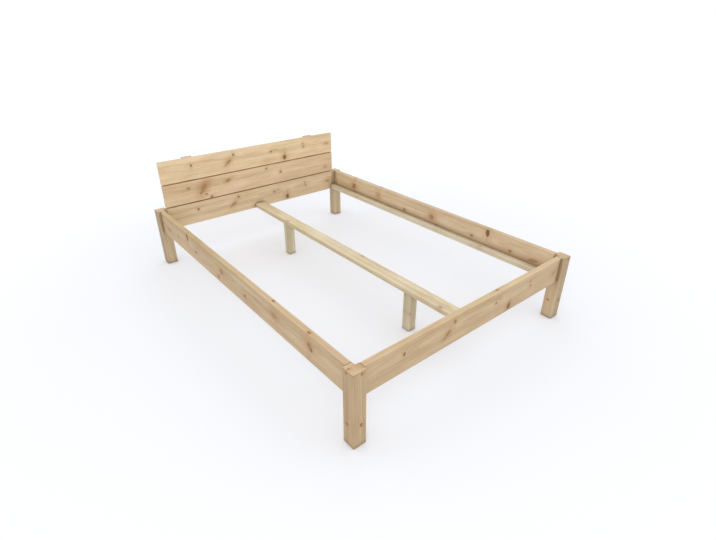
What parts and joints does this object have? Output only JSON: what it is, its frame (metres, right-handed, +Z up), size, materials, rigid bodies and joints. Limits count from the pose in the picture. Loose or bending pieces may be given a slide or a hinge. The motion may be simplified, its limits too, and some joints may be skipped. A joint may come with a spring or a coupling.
{
  "type": "wooden bed",
  "caption": "Low wooden bed frame: knotty pine rails between notched square posts, plank headboard on uprights, ledgers and a centre beam for a slatted base.",
  "frame": {"origin": "on the floor, under the middle of the whole bed's box", "axes": "+X to the right seen from the foot, +Y from the foot to the headboard, +Z up"},
  "size_m": [1.493, 2.1024, 0.686],
  "materials": {
    "pine_frame": "planed, untreated, matt",
    "pine_headboard": "planed, untreated, matt",
    "pine_base": "planed, untreated, matt",
    "beech_dowel": "turned, untreated",
    "zinc_steel": "zinc plated, satin"
  },
  "bodies": {
    "root": {"beam_dowels": "beech_dowel", "beam_inserts": "zinc_steel", "centre_beam": "pine_base", "centre_leg_foot": "pine_base", "centre_leg_head": "pine_base", "foot_rail": "pine_frame", "head_rail": "pine_frame", "headboard_plank_lower": "pine_headboard", "headboard_plank_upper": "pine_headboard", "headboard_screws": "zinc_steel", "headboard_upright_left": "pine_headboard", "headboard_upright_right": "pine_headboard", "hook_plate_foot_rail_left": "zinc_steel", "hook_plate_foot_rail_right": "zinc_steel", "hook_plate_head_rail_left": "zinc_steel", "hook_plate_head_rail_right": "zinc_steel", "hook_plate_screws": "zinc_steel", "hook_plate_side_rail_left_foot": "zinc_steel", "hook_plate_side_rail_left_head": "zinc_steel", "hook_plate_side_rail_right_foot": "zinc_steel", "hook_plate_side_rail_right_head": "zinc_steel", "ledger_dowels": "beech_dowel", "leg_studs": "zinc_steel", "post_foot_left": "pine_frame", "post_foot_right": "pine_frame", "post_head_left": "pine_frame", "post_head_right": "pine_frame", "side_rail_left": "pine_frame", "side_rail_right": "pine_frame", "slat_ledger_left": "pine_base", "slat_ledger_right": "pine_base", "slot_plate_foot_rail_left": "zinc_steel", "slot_plate_foot_rail_right": "zinc_steel", "slot_plate_head_rail_left": "zinc_steel", "slot_plate_head_rail_right": "zinc_steel", "slot_plate_screws": "zinc_steel", "slot_plate_side_rail_left_foot": "zinc_steel", "slot_plate_side_rail_left_head": "zinc_steel", "slot_plate_side_rail_right_foot": "zinc_steel", "slot_plate_side_rail_right_head": "zinc_steel"}
  },
  "joints": []
}
